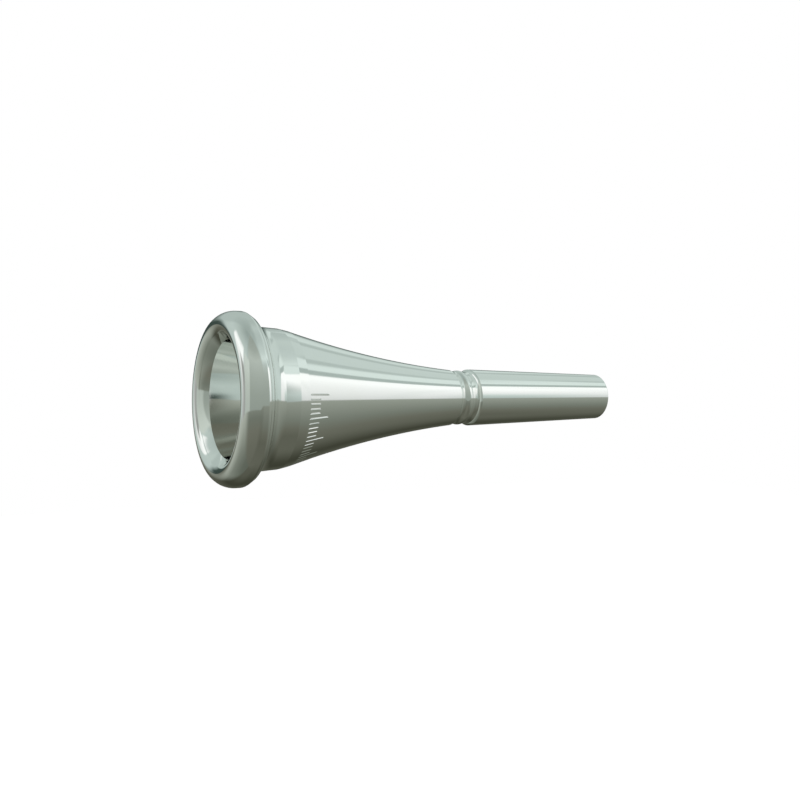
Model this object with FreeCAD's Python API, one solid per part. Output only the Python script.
"""French horn mouthpiece: a brass body turned from one bar, wrapped in silver plate.

The axis lies along X. The rim faces -X, the shank points along +X, and the origin is the
centre of the shank's end face. The outline is drawn once, as a closed half section in the
XZ plane, and turned about X. Every station is a depth behind the crown of the rim.
"""
import FreeCAD, Part
import math
import os

# ---- driving dimensions, millimetres ----------------------------------------------------
overall_length = 67.4
plating_thickness = 0.05

# Rim: what the lips rest on.
crown_diameter = 20.76         # the ring that stands furthest forward
crown_radius = 1.3             # rounding of the crown towards the outside
crown_inner_radius = 1.5       # rounding of the crown towards the cup
rim_diameter = 24.4
rim_front_depth = 2.5          # where the rim reaches its full diameter
rim_back_depth = 3.1           # where it starts to round off again
rim_back_radius = 0.72
rim_back_angle = 34.5          # degrees turned by that rounding
bite_diameter = 16.6           # sharp edge between the rim's inner slope and the cup
bite_depth = 1.87
inner_slope_bow = -0.034       # how far the inner slope stands out from a straight cone

# Quirk ring: two fine lines cut behind the rim, with a narrow sloping band between them.
fine_line_width = 0.12
fine_line_depth = 0.11
quirk_band_width = 0.46
quirk_band_angle = 34.0

# Neck: cove behind the rim, short land, and the long hollow taper.
cove_bow = 0.4                 # how far the cove is hollowed below a straight cone
land_start_depth = 6.4
land_start_diameter = 20.16
land_end_depth = 8.5
land_end_diameter = 19.9
land_corner_bow = 0.005
taper_start_depth = 9.9
taper_start_diameter = 19.32
taper_radius = 148.0
taper_end_depth = 37.42
taper_end_diameter = 8.67

# Two grooves with a bead between them.
groove_width = 1.2
groove_diameter = 8.1
bead_width = 1.0
bead_diameter = 8.5
bead_crown = 0.12              # how far the bead's middle stands above its edges

# Shank: it slides into the receiver of the horn.
shoulder_diameter = 8.88
shoulder_round = 0.35
shoulder_bow = 0.03
tip_diameter = 7.5
tip_outer_round = 0.2
tip_outer_bow = 0.06
tip_inner_round = 0.08

# Inside: cup with a short bowl and a long funnel, then throat and backbore.
bowl_end_depth = 7.0
bowl_end_diameter = 14.5
bowl_bow = 0.06                # how far the bowl's wall bulges from a straight cone
cup_depth = 29.0
cup_end_diameter = 5.2
funnel_bow = 0.26              # how far the funnel's wall stands into the cup
throat_diameter = 4.6
throat_start_depth = 31.0
throat_entry_bow = 0.03
throat_length = 2.5
backbore_diameter = 6.3        # at the shank's end


# ---- outline helpers ---------------------------------------------------------------------
def point(depth, radius):
    """Point of the half section, from its depth behind the crown and its radius."""
    return FreeCAD.Vector(depth - overall_length, 0, radius)


def line(start, end):
    return Part.LineSegment(start, end).toShape()


def arc_about(centre, radius, first_angle, last_angle):
    """Arc about a centre. Angles are in degrees, 0 along +X and 90 outwards."""
    spots = []
    for angle in (first_angle, (first_angle + last_angle) / 2, last_angle):
        turn = math.radians(angle)
        spots.append(centre + FreeCAD.Vector(math.cos(turn), 0, math.sin(turn)) * radius)
    return Part.Arc(*spots).toShape()


def bowed(start, end, bow):
    """Arc from start to end whose middle stands outwards of the straight line by bow."""
    along = (end - start).normalize()
    outwards = FreeCAD.Vector(-along.z, 0, along.x)
    if outwards.z < 0:
        outwards = outwards * -1
    return Part.Arc(start, (start + end) / 2 + outwards * bow, end).toShape()


def first_point(edge):
    return edge.firstVertex(True).Point


def last_point(edge):
    return edge.lastVertex(True).Point


def fine_line(start, angle):
    """V-shaped line cut into a slope that falls by angle. Returns its two walls."""
    turn = math.radians(angle)
    along = FreeCAD.Vector(math.cos(turn), 0, -math.sin(turn))
    inwards = FreeCAD.Vector(-math.sin(turn), 0, -math.cos(turn))
    bottom = start + along * (fine_line_width / 2) + inwards * fine_line_depth
    end = start + along * fine_line_width
    return [line(start, bottom), line(bottom, end)]


# ---- stretches of the outside, from the crown to the shank's end ---------------------------
def rim_edges():
    """Crown and outer face of the rim: two tangent arcs, a short land and the back round."""
    crown_r = crown_diameter / 2
    rim_r = rim_diameter / 2
    rise = rim_r - crown_r
    run = rim_front_depth - crown_radius
    face_radius = (run ** 2 + rise ** 2 - crown_radius ** 2) / (2 * (rise - crown_radius))
    crown_centre = point(crown_radius, crown_r)
    face_centre = point(rim_front_depth, rim_r - face_radius)
    joint = math.degrees(math.atan2(crown_centre.z - face_centre.z, crown_centre.x - face_centre.x))
    crown = arc_about(crown_centre, crown_radius, 180, joint)
    face = arc_about(face_centre, face_radius, joint, 90)
    back_centre = point(rim_back_depth, rim_r - rim_back_radius)
    back = arc_about(back_centre, rim_back_radius, 90, 90 - rim_back_angle)
    return [crown, face, line(last_point(face), first_point(back)), back]


def neck_edges(start):
    """Quirk ring, cove, land and hollow taper."""
    edges = fine_line(start, rim_back_angle)
    band_start = last_point(edges[-1])
    turn = math.radians(quirk_band_angle)
    band_end = band_start + FreeCAD.Vector(math.cos(turn), 0, -math.sin(turn)) * quirk_band_width
    edges.append(line(band_start, band_end))
    edges += fine_line(band_end, quirk_band_angle)
    cove_start = last_point(edges[-1])
    land_start = point(land_start_depth, land_start_diameter / 2)
    land_end = point(land_end_depth, land_end_diameter / 2)
    taper_start = point(taper_start_depth, taper_start_diameter / 2)
    taper_end = point(taper_end_depth, taper_end_diameter / 2)
    half_chord = (taper_end - taper_start).Length / 2
    taper_bow = taper_radius - math.sqrt(taper_radius ** 2 - half_chord ** 2)
    edges.append(bowed(cove_start, land_start, -cove_bow))
    edges.append(line(land_start, land_end))
    edges.append(bowed(land_end, taper_start, land_corner_bow))
    edges.append(bowed(taper_start, taper_end, -taper_bow))
    return edges


def groove(start_depth, start_radius, end_radius):
    """Round-bottomed groove between two stations, as one arc."""
    start = point(start_depth, start_radius)
    bottom = point(start_depth + groove_width / 2, groove_diameter / 2)
    end = point(start_depth + groove_width, end_radius)
    return Part.Arc(start, bottom, end).toShape()


def ring_edges():
    """First groove, bead and second groove."""
    bead_start = taper_end_depth + groove_width
    bead_end = bead_start + bead_width
    bead_edge = bead_diameter / 2 - bead_crown
    bead_top = point((bead_start + bead_end) / 2, bead_diameter / 2)
    bead = Part.Arc(point(bead_start, bead_edge), bead_top, point(bead_end, bead_edge)).toShape()
    return [
        groove(taper_end_depth, taper_end_diameter / 2, bead_edge),
        bead,
        groove(bead_end, bead_edge, shoulder_diameter / 2 - shoulder_round),
    ]


def shank_edges(start):
    """Shoulder, tapered shank and the rounded outer edge of its end."""
    shoulder = point(start.x + overall_length + shoulder_round, shoulder_diameter / 2)
    tip = point(overall_length - tip_outer_round, tip_diameter / 2)
    end = point(overall_length, tip_diameter / 2 - tip_outer_round)
    return [
        bowed(start, shoulder, shoulder_bow),
        line(shoulder, tip),
        bowed(tip, end, tip_outer_bow),
    ]


# ---- stretches of the inside, from the shank's end back to the crown -----------------------
def bore_edges(start):
    """Face of the shank's end, backbore and throat."""
    mouth_radius = backbore_diameter / 2
    face_end = point(overall_length, mouth_radius + tip_inner_round)
    mouth = point(overall_length - tip_inner_round, mouth_radius)
    throat_end = point(throat_start_depth + throat_length, throat_diameter / 2)
    throat_start = point(throat_start_depth, throat_diameter / 2)
    return [
        line(start, face_end),
        line(face_end, mouth),
        line(mouth, throat_end),
        line(throat_end, throat_start),
    ]


def cup_edges(start, crown):
    """Throat entry, funnel, bowl, inner slope of the rim and the crown's inside."""
    cup_end = point(cup_depth, cup_end_diameter / 2)
    bowl_end = point(bowl_end_depth, bowl_end_diameter / 2)
    bite = point(bite_depth, bite_diameter / 2)
    entry = bowed(start, cup_end, -throat_entry_bow)
    funnel = bowed(cup_end, bowl_end, -funnel_bow)
    bowl = bowed(bowl_end, bite, bowl_bow)
    centre = crown + FreeCAD.Vector(crown_inner_radius, 0, 0)
    reach = bite - centre
    # The inner slope runs from the bite, tangent to the crown's inner rounding.
    towards_bite = math.atan2(reach.z, reach.x)
    touch = -math.degrees(math.acos(crown_inner_radius / reach.Length)) + math.degrees(towards_bite)
    inner_round = arc_about(centre, crown_inner_radius, touch % 360, 180)
    slope = bowed(bite, first_point(inner_round), inner_slope_bow)
    return [entry, funnel, bowl, slope, inner_round]


def half_section():
    """Closed outline of the finished mouthpiece, plating included."""
    edges = rim_edges()
    crown = first_point(edges[0])
    edges += neck_edges(last_point(edges[-1]))
    edges += ring_edges()
    edges += shank_edges(last_point(edges[-1]))
    edges += bore_edges(last_point(edges[-1]))
    edges += cup_edges(last_point(edges[-1]), crown)
    return Part.Wire(edges)


# ---- solids --------------------------------------------------------------------------------
def turned(face):
    """Solid of revolution about the mouthpiece's axis."""
    return face.revolve(FreeCAD.Vector(0, 0, 0), FreeCAD.Vector(1, 0, 0), 360)


outline = half_section()
section = Part.Face(outline)
core_section = Part.Face(outline.makeOffset2D(-plating_thickness))
plating_section = section.cut(core_section).Faces[0]
parts = {
    "brass_body": turned(core_section),
    "silver_plating": turned(plating_section),
}

os.makedirs("parts", exist_ok=True)
for name, shape in parts.items():
    shape.exportStep(f"parts/{name}.step")
    print(name, shape.ShapeType, "valid", shape.isValid(), "volume mm3", round(shape.Volume, 2))
